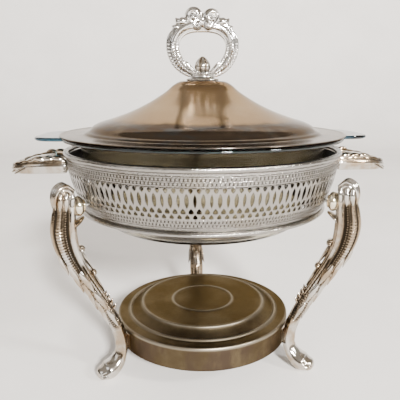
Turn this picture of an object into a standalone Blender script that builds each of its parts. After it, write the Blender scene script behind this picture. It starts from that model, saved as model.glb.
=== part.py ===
"""Round chafing dish: a pierced gallery stand on three cabriole legs, with a burner tray between the
legs, a glass casserole that lifts out, and a domed lid with a cast ring handle that lifts off."""

import bpy
import bmesh
import math
from mathutils import Matrix, Vector

# ---- Driving dimensions, in metres. Radii are from the dish's own upright axis. ----
FIT_GAP = 0.0003               # between pieces that touch
ROUND_STEPS = 48               # facets around the large round pieces
SMALL_STEPS = 14               # facets around the small turned pieces

BRIM_RADIUS = 0.1135           # lid brim, the widest round piece
KNEE_RADIUS = 0.1305           # outermost point of a leg
AXIS_Y = -(KNEE_RADIUS - BRIM_RADIUS) / 2   # puts the middle of the whole footprint over the origin

GALLERY_BOTTOM = 0.1364        # height of the pierced band's lower edge
GALLERY_TOP = 0.1762
GALLERY_BOTTOM_RADIUS = 0.0990
GALLERY_TOP_RADIUS = 0.1095
GALLERY_THICKNESS = 0.0012
SLOT_COUNT = 48                # openings of the CAD band, each standing for a group of small ones
SLOT_BOTTOM = 0.1500           # pierced zone
SLOT_TOP = 0.1670
BEAD_RADIUS = 0.0022           # rolled top edge
LEDGE_INNER_RADIUS = 0.0857    # inner edge of the ledge that carries the glass

GLASS_RIM_RADIUS = 0.1125
GLASS_TOP = 0.1913
TAB_REACH = 0.1318             # glass tab tip
TAB_HALF_WIDTH = 0.0300

LID_THICKNESS = 0.0009
LID_TOP = 0.2330

RING_TOP = 0.2768              # middle of the handle ribbon at its crest
RING_BOTTOM = 0.2372
RING_HALF_WIDTH = 0.0236
STUD_RADIUS = 0.0018

HANDLE_ROOT = 0.1078           # side handle, from the band out
HANDLE_TIP = 0.1522
HANDLE_HALF_SPAN = 0.0245
HANDLE_HEIGHT = 0.1690

LEG_AZIMUTHS = {"left": 210, "right": 330, "back": 90}
BOSS_HEIGHT = 0.1447
BOSS_RADIUS = 0.0064
LEG_SCREW_RADIUS = 0.0014

TRAY_RADIUS = 0.0745
TRAY_BOTTOM = 0.0190
TRAY_TOP = 0.0448
TRAY_THICKNESS = 0.0010
LUG_HEIGHT = 0.0285            # middle of the lug and its screw
LUG_THICKNESS = 0.0015
TRAY_SCREW_RADIUS = 0.0011


# ---- Materials ----
def metal(name, colour, roughness):
    """Opaque plated metal."""
    finish = bpy.data.materials.new(name)
    finish.use_nodes = True
    shader = finish.node_tree.nodes["Principled BSDF"]
    shader.inputs["Base Color"].default_value = (*colour, 1)
    shader.inputs["Roughness"].default_value = roughness
    shader.inputs["Metallic"].default_value = 1.0
    finish.diffuse_color = (*colour, 1)
    return finish


def clear_glass(name):
    """Pressed ovenproof glass with a faint blue-green tint."""
    finish = bpy.data.materials.new(name)
    finish.use_nodes = True
    shader = finish.node_tree.nodes["Principled BSDF"]
    shader.inputs["Base Color"].default_value = (0.82, 0.93, 0.94, 1)
    shader.inputs["Roughness"].default_value = 0.03
    shader.inputs["Transmission Weight"].default_value = 1.0
    finish.diffuse_color = (0.6, 0.8, 0.85, 0.5)
    return finish


# ---- Mesh makers ----
def finish_object(name, mesh_data, finish, parent, sharp_angle=35):
    """Turn a bmesh into a smooth-shaded object under its parent."""
    mesh = bpy.data.meshes.new(name)
    mesh_data.to_mesh(mesh)
    mesh_data.free()
    mesh.shade_smooth()
    mesh.set_sharp_from_angle(angle=math.radians(sharp_angle))
    mesh.materials.append(finish)
    piece = bpy.data.objects.new(name, mesh)
    bpy.context.scene.collection.objects.link(piece)
    piece.parent = parent
    return piece


def turned(profile, steps, closed=True):
    """Spin (radius, height) points about Z. A closed profile gives a ring; an open one whose ends
    are on the axis gives a solid, and one that stays off the axis gives a sheet."""
    shape = bmesh.new()
    points = [shape.verts.new((radius, 0, height)) for radius, height in profile]
    following = points[1:] + points[:1] if closed else points[1:]
    edges = [shape.edges.new(pair) for pair in zip(points, following)]
    bmesh.ops.spin(shape, geom=points + edges, axis=(0, 0, 1), cent=(0, 0, 0),
                   steps=steps, angle=math.tau, use_merge=True)
    bmesh.ops.remove_doubles(shape, verts=shape.verts, dist=1e-6)
    bmesh.ops.recalc_face_normals(shape, faces=shape.faces)
    return shape


def face_up(shape):
    """Turn an open sheet so that its highest face looks up."""
    highest = max(shape.faces, key=lambda face: face.calc_center_median().z)
    if highest.normal.z < 0:
        bmesh.ops.reverse_faces(shape, faces=shape.faces)
    return shape


def lofted(rings, closed=False):
    """Skin a row of equal rings of points; an open row gets flat caps."""
    shape = bmesh.new()
    rows = [[shape.verts.new(point) for point in ring] for ring in rings]
    following = rows[1:] + rows[:1] if closed else rows[1:]
    for row, nxt in zip(rows, following):
        for k in range(len(row)):
            shape.faces.new((row[k - 1], row[k], nxt[k], nxt[k - 1]))
    if not closed:
        shape.faces.new(rows[0])
        shape.faces.new(rows[-1])
    bmesh.ops.recalc_face_normals(shape, faces=shape.faces)
    return shape


def smooth_through(stations, per_span):
    """Catmull-Rom points through hand-set stations, each a tuple of equal length."""
    rows = [Vector(station) for station in stations]
    ends = [rows[0] * 2 - rows[1]] + rows + [rows[-1] * 2 - rows[-2]]
    result = []
    for a, b, c, d in zip(ends, ends[1:], ends[2:], ends[3:]):
        for step in range(per_span):
            t = step / per_span
            result.append(b + (c - a) * (t / 2) + (a * 2 - b * 5 + c * 4 - d) * (t * t / 2)
                          + (b * 3 - a - c * 3 + d) * (t ** 3 / 2))
    return result + [rows[-1]]


def arc(centre_radius, centre_height, size, start, end, count):
    """Points of an arc in a (radius, height) profile, angles in degrees."""
    angles = [math.radians(start + (end - start) * k / (count - 1)) for k in range(count)]
    return [(centre_radius + size * math.cos(a), centre_height + size * math.sin(a)) for a in angles]


def solidify(piece, thickness):
    """Give a sheet its metal thickness on its inner side."""
    wall = piece.modifiers.new("wall", "SOLIDIFY")
    wall.thickness = thickness
    wall.offset = -1
    wall.use_even_offset = True


def drill(piece, cutter):
    """Cut a cutter's bores out of a piece."""
    bore = piece.modifiers.new("bore", "BOOLEAN")
    bore.operation = "DIFFERENCE"
    bore.solver = "EXACT"
    bore.object = cutter


def fuse(piece, lump):
    """Cast a lump into a piece."""
    joint = piece.modifiers.new("cast_on", "BOOLEAN")
    joint.operation = "UNION"
    joint.solver = "EXACT"
    joint.object = lump


def guide(piece):
    """Mark a cutter or a lump as no piece of its own."""
    piece.hide_render = True
    piece.display_type = "WIRE"
    return piece


def frame_at(name, location=(0, 0, 0), turn=0, parent=None):
    """Empty that pieces are parented to, turned about Z in degrees."""
    empty = bpy.data.objects.new(name, None)
    empty.location = location
    empty.rotation_euler.z = math.radians(turn)
    empty.parent = parent
    bpy.context.scene.collection.objects.link(empty)
    return empty


def radial_rod(reach_from, reach_to, radius, height, steps=12):
    """Rod that points out from the axis along +X, as a closed mesh."""
    shape = turned([(0, reach_from), (radius, reach_from), (radius, reach_to), (0, reach_to)],
                   steps, closed=False)
    lay_outward = Matrix.Translation((0, 0, height)) @ Matrix.Rotation(math.radians(90), 4, "Y")
    bmesh.ops.transform(shape, matrix=lay_outward, verts=shape.verts)
    return shape


# ---- The gallery ----
def gallery_radius(height):
    """Outer radius of the bowl-shaped band at a height."""
    share = (height - GALLERY_BOTTOM) / (GALLERY_TOP - GALLERY_BOTTOM)
    return GALLERY_TOP_RADIUS - (GALLERY_TOP_RADIUS - GALLERY_BOTTOM_RADIUS) * (1 - share) ** 1.7


def gallery_band(finish, parent, bores):
    """Pierced sheet band, one pointed slot to a cell."""
    shape = bmesh.new()
    cell = math.tau / SLOT_COUNT
    slot_middle = (SLOT_BOTTOM + SLOT_TOP) / 2
    slot_half = (SLOT_TOP - SLOT_BOTTOM) / 2 - 0.0008
    slot_side = cell * 0.24

    def point(angle, height):
        radius = gallery_radius(height)
        return shape.verts.new((radius * math.cos(angle), radius * math.sin(angle), height))

    def face(*corners):
        shape.faces.new([point(angle, height) for angle, height in corners])

    for k in range(SLOT_COUNT):
        left, right = k * cell, (k + 1) * cell
        middle = (left + right) / 2
        for low, high in ((GALLERY_BOTTOM, SLOT_BOTTOM), (SLOT_TOP, GALLERY_TOP)):
            face((left, low), (right, low), (right, high), (left, high))
        foot = (middle, slot_middle - slot_half)
        head = (middle, slot_middle + slot_half)
        near_left, near_right = middle - slot_side, middle + slot_side
        low, high = slot_middle - slot_half * 0.4, slot_middle + slot_half * 0.4
        face((left, SLOT_BOTTOM), (right, SLOT_BOTTOM), foot)
        face((right, SLOT_BOTTOM), (near_right, low), foot)
        face((right, SLOT_BOTTOM), (right, SLOT_TOP), (near_right, high), (near_right, low))
        face((right, SLOT_TOP), head, (near_right, high))
        face((right, SLOT_TOP), (left, SLOT_TOP), head)
        face((left, SLOT_TOP), (near_left, high), head)
        face((left, SLOT_TOP), (left, SLOT_BOTTOM), (near_left, low), (near_left, high))
        face((left, SLOT_BOTTOM), foot, (near_left, low))
    bmesh.ops.remove_doubles(shape, verts=shape.verts, dist=1e-6)
    band = finish_object("gallery_band", shape, finish, parent)
    solidify(band, GALLERY_THICKNESS)
    drill(band, bores)


def gallery_edges(finish, parent):
    """Rolled top bead, and the bottom rim whose inner ledge carries the glass."""
    bead_height = GALLERY_TOP + FIT_GAP + BEAD_RADIUS
    bead = turned(arc(GALLERY_TOP_RADIUS, bead_height, BEAD_RADIUS, 0, 300, 6), ROUND_STEPS)
    finish_object("gallery_top_bead", bead, finish, parent, 60)
    rim_top = GALLERY_BOTTOM - FIT_GAP
    ledge_top = rim_top - 0.0006
    rim_bottom = rim_top - 0.0040
    outer = GALLERY_BOTTOM_RADIUS + 0.0021
    profile = [(outer - 0.0014, rim_top), (outer, rim_top - 0.0016), (outer - 0.0014, rim_bottom),
               (LEDGE_INNER_RADIUS, ledge_top - 0.0012), (LEDGE_INNER_RADIUS, ledge_top),
               (GALLERY_BOTTOM_RADIUS - 0.0030, ledge_top)]
    finish_object("gallery_bottom_rim", turned(profile, ROUND_STEPS), finish, parent)


# ---- The legs and what fixes them ----
def leg(name, finish, station, bores):
    """Cast cabriole leg: scrolled knee, thin shin, waist at the tray and a padded foot."""
    # radius, height, half thickness, half width
    stations = [(0.1185, 0.1605, 0.0020, 0.0035), (0.1200, 0.1545, 0.0062, 0.0070),
                (0.1215, 0.1400, 0.0077, 0.0078), (0.1220, 0.1270, 0.0083, 0.0076),
                (0.1188, 0.1115, 0.0076, 0.0066), (0.1118, 0.0965, 0.0062, 0.0058),
                (0.1018, 0.0790, 0.0053, 0.0052), (0.0917, 0.0610, 0.0046, 0.0047),
                (0.0838, 0.0440, 0.0038, 0.0043), (0.0804, 0.0290, 0.0034, 0.0042),
                (0.0822, 0.0185, 0.0042, 0.0056), (0.0880, 0.0105, 0.0060, 0.0074),
                (0.0955, 0.0055, 0.0072, 0.0082), (0.1012, 0.0050, 0.0040, 0.0060)]
    path = smooth_through(stations, 2)
    rings = []
    for k, (radius, height, thick, wide) in enumerate(path):
        before, after = path[max(k - 1, 0)], path[min(k + 1, len(path) - 1)]
        along = Vector((after[0] - before[0], 0, after[1] - before[1])).normalized()
        outward = Vector((-along.z, 0, along.x))
        centre = Vector((radius, 0, height))
        turns = [math.tau * side / 8 for side in range(8)]
        rings.append([centre + outward * (thick * math.cos(t)) + Vector((0, wide * math.sin(t), 0))
                      for t in turns])
    shape = lofted(rings)
    whole = shape.verts[:] + shape.edges[:] + shape.faces[:]
    cut = bmesh.ops.bisect_plane(shape, geom=whole, dist=1e-7, plane_co=(0, 0, 0),
                                 plane_no=(0, 0, -1), clear_outer=True)
    sole_edges = [item for item in cut["geom_cut"] if isinstance(item, bmesh.types.BMEdge)]
    bmesh.ops.contextual_create(shape, geom=sole_edges)
    bmesh.ops.recalc_face_normals(shape, faces=shape.faces)
    piece = finish_object(name, shape, finish, station, 50)
    for bore in bores:
        drill(piece, bore)


def leg_boss(name, finish, station, bore):
    """Round spacer that the knee's screw runs through, between the band and the knee."""
    inner = gallery_radius(BOSS_HEIGHT + BOSS_RADIUS * 0.8) + FIT_GAP
    outer = 0.1134
    waist = BOSS_RADIUS * 0.80
    profile = [(0, inner), (waist, inner), (BOSS_RADIUS, inner + 0.0030),
               (BOSS_RADIUS, outer - 0.0030), (waist, outer), (0, outer)]
    shape = turned(profile, SMALL_STEPS, closed=False)
    lay_outward = Matrix.Translation((0, 0, BOSS_HEIGHT)) @ Matrix.Rotation(math.radians(90), 4, "Y")
    bmesh.ops.transform(shape, matrix=lay_outward, verts=shape.verts)
    drill(finish_object(name, shape, finish, station, 50), bore)


def screw(name, finish, station, head_at, tip_at, shank_radius, height):
    """Round-headed screw that points outward; head_at is the face that the head bears on."""
    head_radius = shank_radius * 2.1
    head_depth = shank_radius * 1.2
    profile = [(0, head_at - head_depth), (head_radius * 0.7, head_at - head_depth),
               (head_radius, head_at - head_depth * 0.4), (head_radius, head_at),
               (shank_radius, head_at), (shank_radius, tip_at), (0, tip_at)]
    shape = turned(profile, 12, closed=False)
    lay_outward = Matrix.Translation((0, 0, height)) @ Matrix.Rotation(math.radians(90), 4, "Y")
    bmesh.ops.transform(shape, matrix=lay_outward, verts=shape.verts)
    finish_object(name, shape, finish, station)


def three_bores(name, stations, reach_from, reach_to, radius, height):
    """One cutter with a radial bore at every leg."""
    shape = bmesh.new()
    for azimuth in LEG_AZIMUTHS.values():
        rod = radial_rod(reach_from, reach_to, radius, height)
        bmesh.ops.rotate(rod, verts=rod.verts, matrix=Matrix.Rotation(math.radians(azimuth), 3, "Z"))
        carrier = bpy.data.meshes.new(name)
        rod.to_mesh(carrier)
        rod.free()
        shape.from_mesh(carrier)
        bpy.data.meshes.remove(carrier)
    return guide(finish_object(name, shape, metal(name, (1, 0, 0), 0.5), stations))


# ---- The side handles ----
def side_handle(name, finish, parent, turn):
    """Cast open loop; both ends meet the band, and the rail drops and thins towards its tip."""
    rings = []
    steps = 20
    for k in range(steps + 1):
        turn_share = -1 + 2 * k / steps
        angle = turn_share * math.pi / 2
        reach = HANDLE_TIP - HANDLE_ROOT
        x = HANDLE_ROOT + reach * abs(math.cos(angle)) ** 0.85
        y = HANDLE_HALF_SPAN * math.copysign(abs(math.sin(angle)) ** 0.9, math.sin(angle))
        near_root = abs(turn_share)
        tall = 0.0032 + 0.0034 * min(1, 1.4 * near_root)
        height = HANDLE_HEIGHT - 0.0036 * (1 - near_root) ** 2
        outward = Vector((math.cos(angle * 0.9), math.sin(angle * 0.9), 0))
        centre = Vector((x, y, height))
        turns = [math.tau * (side + 0.5) / 8 for side in range(8)]
        rings.append([centre + outward * (0.0028 * math.cos(t)) + Vector((0, 0, tall * math.sin(t)))
                      for t in turns])
    shape = lofted(rings)
    bmesh.ops.rotate(shape, verts=shape.verts, matrix=Matrix.Rotation(math.radians(turn), 3, "Z"))
    finish_object(name, shape, finish, parent, 50)


# ---- The tray ----
def tray(finish, parent, bores):
    """Spun platform for the burner: a plain wall, two steps and an embossed ring."""
    step = (TRAY_BOTTOM + 0.0194, 0.0640)
    profile = [(TRAY_RADIUS, TRAY_BOTTOM), (TRAY_RADIUS, step[0] - 0.0020),
               (TRAY_RADIUS - 0.0010, step[0] - 0.0004), (step[1] + 0.0016, step[0] + 0.0004),
               (step[1], step[0] + 0.0014), (step[1] - 0.0016, step[0] + 0.0006),
               (0.0540, TRAY_TOP - 0.0010), (0.0522, TRAY_TOP),
               (0.0277, TRAY_TOP), (0.0263, TRAY_TOP + 0.0005), (0.0249, TRAY_TOP), (0, TRAY_TOP)]
    shape = face_up(turned(profile, ROUND_STEPS, closed=False))
    piece = finish_object("burner_tray", shape, finish, parent)
    solidify(piece, TRAY_THICKNESS)
    drill(piece, bores)


def tray_lug(name, finish, station, bore):
    """Curved plate brazed to the tray wall, where the leg's waist bears."""
    inner = TRAY_RADIUS + FIT_GAP
    outer = inner + LUG_THICKNESS
    half_height = 0.0065
    half_angle = math.radians(5.4)
    rings = []
    for k in range(5):
        angle = half_angle * (k / 2 - 1)
        rings.append([(radius * math.cos(angle), radius * math.sin(angle), LUG_HEIGHT + rise)
                      for radius, rise in ((inner, -half_height), (outer, -half_height),
                                           (outer, half_height), (inner, half_height))])
    drill(finish_object(name, lofted(rings), finish, station), bore)


# ---- The glass dish ----
def tab_stretch(angle):
    """How far the glass rim reaches out at an angle, as a share of its plain radius."""
    across = abs(math.sin(angle)) * GLASS_RIM_RADIUS
    if across >= TAB_HALF_WIDTH:
        return 1.0
    share = (across / TAB_HALF_WIDTH) ** 3
    tip = TAB_REACH / max(abs(math.cos(angle)), 0.5)
    return 1 + (tip / GLASS_RIM_RADIUS - 1) * (1 - share)


def glass_dish(finish, parent):
    """Pressed glass casserole: flat base, sloping wall, level flange and two tabs."""
    base = 0.1190
    flange_under = GLASS_TOP - 0.0026
    floor = base + 0.0036
    profile = [(0, base), (0.0700, base), (0.0775, base + 0.0018), (0.0815, base + 0.0065),
               (0.0848, 0.1345), (0.0925, 0.1600), (0.0974, 0.1790), (0.1000, flange_under),
               (GLASS_RIM_RADIUS - 0.0006, flange_under),
               (GLASS_RIM_RADIUS, flange_under + 0.0010), (GLASS_RIM_RADIUS - 0.0006, GLASS_TOP),
               (0.0990, GLASS_TOP), (0.0942, GLASS_TOP - 0.0040), (0.0892, 0.1600),
               (0.0816, 0.1350), (0.0778, floor + 0.0040), (0.0700, floor), (0, floor)]
    shape = turned(profile, 60, closed=False)
    for vert in shape.verts:
        radius = math.hypot(vert.co.x, vert.co.y)
        if radius > GLASS_RIM_RADIUS - 0.0010:
            stretch = tab_stretch(math.atan2(vert.co.y, vert.co.x))
            vert.co.x *= stretch
            vert.co.y *= stretch
    finish_object("glass_dish", shape, finish, parent)


# ---- The lid ----
def lid_shell(finish, parent):
    """Spun lid: flat brim, low shoulder, hollow cone and a small flat top with the stud's hole."""
    brim = GLASS_TOP + FIT_GAP + LID_THICKNESS
    profile = [(BRIM_RADIUS, brim), (0.0965, brim + 0.0003), (0.0948, brim + 0.0014),
               (0.0916, 0.1962), (0.0874, 0.1988), (0.0818, 0.2012), (0.0738, 0.2036),
               (0.0590, 0.2088), (0.0440, 0.2159), (0.0294, 0.2250), (0.0232, 0.2302),
               (0.0185, 0.2326), (0.0150, LID_TOP), (STUD_RADIUS + 0.0004, LID_TOP)]
    shape = face_up(turned(profile, ROUND_STEPS, closed=False))
    solidify(finish_object("lid_shell", shape, finish, parent), LID_THICKNESS)


def lid_ring(finish, parent):
    """Cast open ring with two scroll bosses on its crest and a flat hub for the stud."""
    rings = []
    steps = 24
    middle = (RING_TOP + RING_BOTTOM) / 2
    for k in range(steps):
        angle = math.tau * k / steps
        x = RING_HALF_WIDTH * math.sin(angle) * (1 - 0.10 * math.cos(angle))
        z = middle - (RING_TOP - RING_BOTTOM) / 2 * math.cos(angle)
        outward = Vector((math.sin(angle), 0, -math.cos(angle)))
        thick = 0.0042 - 0.0022 * max(0, math.cos(angle)) ** 4
        turns = [math.tau * (side + 0.5) / 8 for side in range(8)]
        rings.append([Vector((x, 0, z)) + outward * (thick * math.cos(t))
                      + Vector((0, 0.0036 * math.sin(t), 0)) for t in turns])
    ring = finish_object("lid_ring", lofted(rings, closed=True), finish, parent, 50)

    hub_bottom = LID_TOP + 0.0023
    hub = turned([(0, hub_bottom), (0.0104, hub_bottom), (0.0104, hub_bottom + 0.0022),
                  (0.0080, hub_bottom + 0.0034), (0, hub_bottom + 0.0034)], SMALL_STEPS, closed=False)
    fuse(ring, guide(finish_object("hub_lump", hub, finish, parent)))
    for side, drop in ((-1, 0), (1, 0.0004)):
        boss = bmesh.new()
        place = Matrix.Translation((side * 0.0074, 0, 0.2823 - drop)) @ Matrix.Diagonal((1, 0.8, 1, 1))
        bmesh.ops.create_uvsphere(boss, u_segments=12, v_segments=7, radius=0.0069, matrix=place)
        fuse(ring, guide(finish_object("scroll_lump", boss, finish, parent)))
    bore = turned([(0, hub_bottom - 0.002), (STUD_RADIUS + 0.0004, hub_bottom - 0.002),
                   (STUD_RADIUS + 0.0004, hub_bottom + 0.006), (0, hub_bottom + 0.006)],
                  SMALL_STEPS, closed=False)
    drill(ring, guide(finish_object("hub_bore", bore, finish, parent)))


def lid_fittings(cast, steel, parent):
    """Collar, bud, and the stud with its washer and nut under the lid."""
    clear = STUD_RADIUS + 0.0004
    collar_bottom = LID_TOP + FIT_GAP
    collar = [(clear, collar_bottom), (0.0128, collar_bottom), (0.0128, collar_bottom + 0.0008),
              (0.0112, collar_bottom + 0.0017), (clear, collar_bottom + 0.0017)]
    finish_object("lid_collar", turned(collar, 24), cast, parent)
    bud_bottom = LID_TOP + 0.0069
    bud = [(clear, bud_bottom), (0.0030, bud_bottom), (0.0034, bud_bottom + 0.0012),
           (0.0052, bud_bottom + 0.0013), (0.0063, bud_bottom + 0.0030),
           (0.0062, bud_bottom + 0.0050), (0.0050, bud_bottom + 0.0083),
           (0.0026, bud_bottom + 0.0110), (0, bud_bottom + 0.0122)]
    blind = [(0, bud_bottom + 0.0060), (clear, bud_bottom + 0.0060)]
    finish_object("lid_bud", turned(blind + bud, SMALL_STEPS, closed=False), cast, parent)
    under = LID_TOP - LID_THICKNESS - FIT_GAP
    washer = [(clear, under - 0.0012), (0.0052, under - 0.0012), (0.0052, under), (clear, under)]
    finish_object("lid_washer", turned(washer, SMALL_STEPS), steel, parent)
    nut_top = under - 0.0012 - FIT_GAP
    nut = [(clear, nut_top - 0.0032), (0.0038, nut_top - 0.0032), (0.0038, nut_top), (clear, nut_top)]
    finish_object("lid_nut", turned(nut, 6), steel, parent)
    stud = [(0, nut_top - 0.0046), (STUD_RADIUS, nut_top - 0.0046),
            (STUD_RADIUS, bud_bottom + 0.0056), (0, bud_bottom + 0.0056)]
    finish_object("lid_stud", turned(stud, 12, closed=False), steel, parent)


def build():
    """Clear the file and put the whole dish together."""
    for thing in list(bpy.data.objects):
        bpy.data.objects.remove(thing, do_unlink=True)

    bright = metal("bright_silver_plate", (0.74, 0.73, 0.70), 0.18)
    cast = metal("cast_silver_plate", (0.70, 0.68, 0.63), 0.25)
    tarnished = metal("tarnished_silver_plate", (0.47, 0.40, 0.31), 0.22)
    tray_finish = metal("tarnished_tray_plate", (0.42, 0.37, 0.27), 0.30)
    steel = metal("plain_steel", (0.55, 0.54, 0.52), 0.35)

    stand = frame_at("stand_frame", (0, AXIS_Y, 0))
    leg_bores = three_bores("leg_screw_bores", stand, 0.0900, 0.1180, LEG_SCREW_RADIUS + 0.0003,
                            BOSS_HEIGHT)
    tray_bores = three_bores("tray_screw_bores", stand, 0.0690, 0.0798, TRAY_SCREW_RADIUS + 0.0003,
                             LUG_HEIGHT)
    gallery_band(bright, stand, leg_bores)
    gallery_edges(bright, stand)
    band_inside = gallery_radius(BOSS_HEIGHT - 0.0029) - GALLERY_THICKNESS * 1.1 - 0.0008
    tray_inside = TRAY_RADIUS - TRAY_THICKNESS - FIT_GAP
    for side, azimuth in LEG_AZIMUTHS.items():
        station = frame_at("leg_station_" + side, turn=azimuth, parent=stand)
        leg("leg_" + side, cast, station, (leg_bores, tray_bores))
        leg_boss("leg_boss_" + side, cast, station, leg_bores)
        screw("leg_screw_" + side, steel, station, band_inside, 0.1172, LEG_SCREW_RADIUS, BOSS_HEIGHT)
        tray_lug("tray_lug_" + side, cast, station, tray_bores)
        screw("tray_screw_" + side, steel, station, tray_inside, 0.0794, TRAY_SCREW_RADIUS, LUG_HEIGHT)
    side_handle("side_handle_left", cast, stand, 180)
    side_handle("side_handle_right", cast, stand, 0)
    tray(tray_finish, stand, tray_bores)

    dish = frame_at("dish_frame", parent=stand)
    glass_dish(clear_glass("clear_ovenproof_glass"), dish)
    lid = frame_at("lid_frame", parent=dish)
    lid_shell(tarnished, lid)
    lid_ring(cast, lid)
    lid_fittings(cast, steel, lid)


build()
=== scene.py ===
import math

import bmesh
import bpy
import numpy as np
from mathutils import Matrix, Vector
from mathutils.geometry import delaunay_2d_cdt


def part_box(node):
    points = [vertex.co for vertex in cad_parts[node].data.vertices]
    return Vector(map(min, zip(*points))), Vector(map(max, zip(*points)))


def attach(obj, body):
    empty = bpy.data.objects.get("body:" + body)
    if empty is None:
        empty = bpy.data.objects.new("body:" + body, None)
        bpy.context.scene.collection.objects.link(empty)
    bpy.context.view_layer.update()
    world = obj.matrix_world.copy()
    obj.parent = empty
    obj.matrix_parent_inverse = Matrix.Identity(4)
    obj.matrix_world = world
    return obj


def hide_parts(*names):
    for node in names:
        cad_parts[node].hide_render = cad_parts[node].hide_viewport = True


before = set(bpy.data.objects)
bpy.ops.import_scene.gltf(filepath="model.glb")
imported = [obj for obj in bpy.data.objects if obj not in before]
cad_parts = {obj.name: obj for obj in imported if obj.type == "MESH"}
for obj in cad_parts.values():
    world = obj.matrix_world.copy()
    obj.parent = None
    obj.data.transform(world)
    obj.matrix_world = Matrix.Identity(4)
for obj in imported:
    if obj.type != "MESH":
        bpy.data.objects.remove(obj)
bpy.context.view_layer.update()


# ---- Camera ----
# It stands close in front of the dish, about as high as the top of its lid, and looks a little down. Every
# round piece of the dish is centred on one upright axis, which is read from the lid.
AXIS_Y = (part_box("lid_shell")[0].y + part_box("lid_shell")[1].y) / 2
CAMERA_TURN = math.radians(4.5)
CAMERA_PITCH = math.radians(13.23)
CAMERA_DISTANCE = 0.3902       # from the dish's axis
CAMERA_HEIGHT = 0.2264

lens = bpy.data.cameras.new("camera")
lens.lens = 42.3
lens.sensor_width = 36
lens.shift_x = -0.0063
camera = bpy.data.objects.new("camera", lens)
camera.location = (-CAMERA_DISTANCE * math.sin(CAMERA_TURN),
                   AXIS_Y - CAMERA_DISTANCE * math.cos(CAMERA_TURN), CAMERA_HEIGHT)
camera.rotation_euler = (math.pi / 2 - CAMERA_PITCH, 0, -CAMERA_TURN)
bpy.context.scene.collection.objects.link(camera)
bpy.context.scene.camera = camera


# ---- Pierced gallery band ----
# A thin silver-plated sheet, rolled into a ring that flares towards its top. Its openings are punched in
# columns that are wide and narrow by turns, between two borders of struck beads and lines.
band_low, band_high = (corner.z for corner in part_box("gallery_band"))
BAND_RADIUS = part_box("gallery_band")[1].x
BAND_FLARE = 0.0105
BAND_SHEET = 0.0009
PIERCED = (0.1455, 0.1676)     # heights between which the openings lie
CELLS = 64                     # each cell has a wide and a narrow column of openings
CELL = 10.24                   # its width along the flat sheet, in millimetres
COLUMNS = 16                   # mesh columns of a cell
CHAMFER = 0.16                 # of an opening's edge, in millimetres
WELD = 0.002                   # grid that shared points are matched on, in millimetres
# Openings of a cell, in millimetres: place across it, lowest and highest point, half width, and how the
# lower and the upper end close, where 1 is a point, 0.5 is round and less is blunt.
WIDE, NARROW = CELL * 0.25, CELL * 0.75
OPENINGS = [(WIDE, 153.7, 163.6, 1.42, 0.7, 0.7), (NARROW, 153.9, 163.4, 1.08, 0.9, 0.9),
            (WIDE, 146.0, 149.3, 1.50, 0.35, 0.9), (NARROW, 146.0, 149.3, 1.50, 0.35, 0.9)]
for between_columns in (0, CELL / 2, CELL):
    OPENINGS += [(between_columns, 163.6, 167.1, 1.45, 1.0, 0.55),
                 (between_columns, 149.6, 153.6, 1.70, 0.35, 0.9)]
# The two struck borders, by height in millimetres: their limits, their mesh rows, lines and rows of beads.
BORDERS = ((139.2, 145.5), (167.6, 174.6))
BORDER_ROWS = (21, 20)
LINES = (144.9, 142.3, 139.8, 168.2, 171.1, 174.0)
LINE_RELIEF = 0.34
BEAD_ROWS = (143.6, 141.05, 169.65, 172.55)
BEAD_RELIEF = 0.50
BEAD_PITCH = CELL / 4


class Wire:
    """A shader socket. Python's operators on it add Math nodes, and add() makes any other node."""

    def __init__(self, tree, socket=None):
        self.tree = tree
        self.socket = socket

    def add(self, kind, settings=None, sockets=None, output=0):
        """A new node: its settings are set first, then its sockets get their values or links."""
        node = self.tree.nodes.new("ShaderNode" + kind)
        for name, value in (settings or {}).items():
            if name == "stops":
                for k, (place, colour) in enumerate(value):
                    stops = node.color_ramp.elements
                    stop = stops[k] if k < 2 else stops.new(place)
                    stop.position = place
                    stop.color = (*colour, 1)
            else:
                setattr(node, name, value)
        for name, value in (sockets or {}).items():
            self.put(node.inputs[name], value)
        return Wire(self.tree, node.outputs[output])

    def put(self, slot, value):
        """Gives a socket a link, a colour or a plain value."""
        if isinstance(value, Wire):
            self.tree.links.new(value.socket, slot)
        elif isinstance(value, tuple) and len(slot.default_value) == 4:
            slot.default_value = (*value, 1)
        else:
            slot.default_value = value

    def math(self, operation, *values):
        return self.add("Math", {"operation": operation}, dict(enumerate(values)))

    def __add__(self, other):
        return self.math("ADD", self, other)

    def __sub__(self, other):
        return self.math("SUBTRACT", self, other)

    def __rsub__(self, other):
        return self.math("SUBTRACT", other, self)

    def __mul__(self, other):
        return self.math("MULTIPLY", self, other)

    __radd__ = __add__
    __rmul__ = __mul__

    def __abs__(self):
        return self.math("ABSOLUTE", self)

    def between(self, low, high):
        """0 below low, 1 above high, and smooth between them."""
        return self.add("MapRange", {"interpolation_type": "SMOOTHSTEP"},
                        {"Value": self, "From Min": low, "From Max": high})

    def blend(self, first, second):
        """Colour that goes from first to second as this value goes from 0 to 1."""
        return self.add("Mix", {"data_type": "RGBA"}, {0: self, 6: first, 7: second}, output=2)


def new_finish(name, **constants):
    """A material, its Principled shader and a Wire to build with. Underscores stand for spaces."""
    finish = bpy.data.materials.new(name)
    finish.use_nodes = True
    tree = finish.node_tree
    shader = tree.nodes["Principled BSDF"]
    for socket, value in constants.items():
        shader.inputs[socket.replace("_", " ")].default_value = value
    return finish, shader, Wire(tree)


def noise(wire, place, scale, detail):
    """Cloudy noise from 0 to 1, with scale cells to a metre."""
    return wire.add("TexNoise", {}, {"Vector": place, "Scale": scale, "Detail": detail, "Roughness": 0.6})


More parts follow.
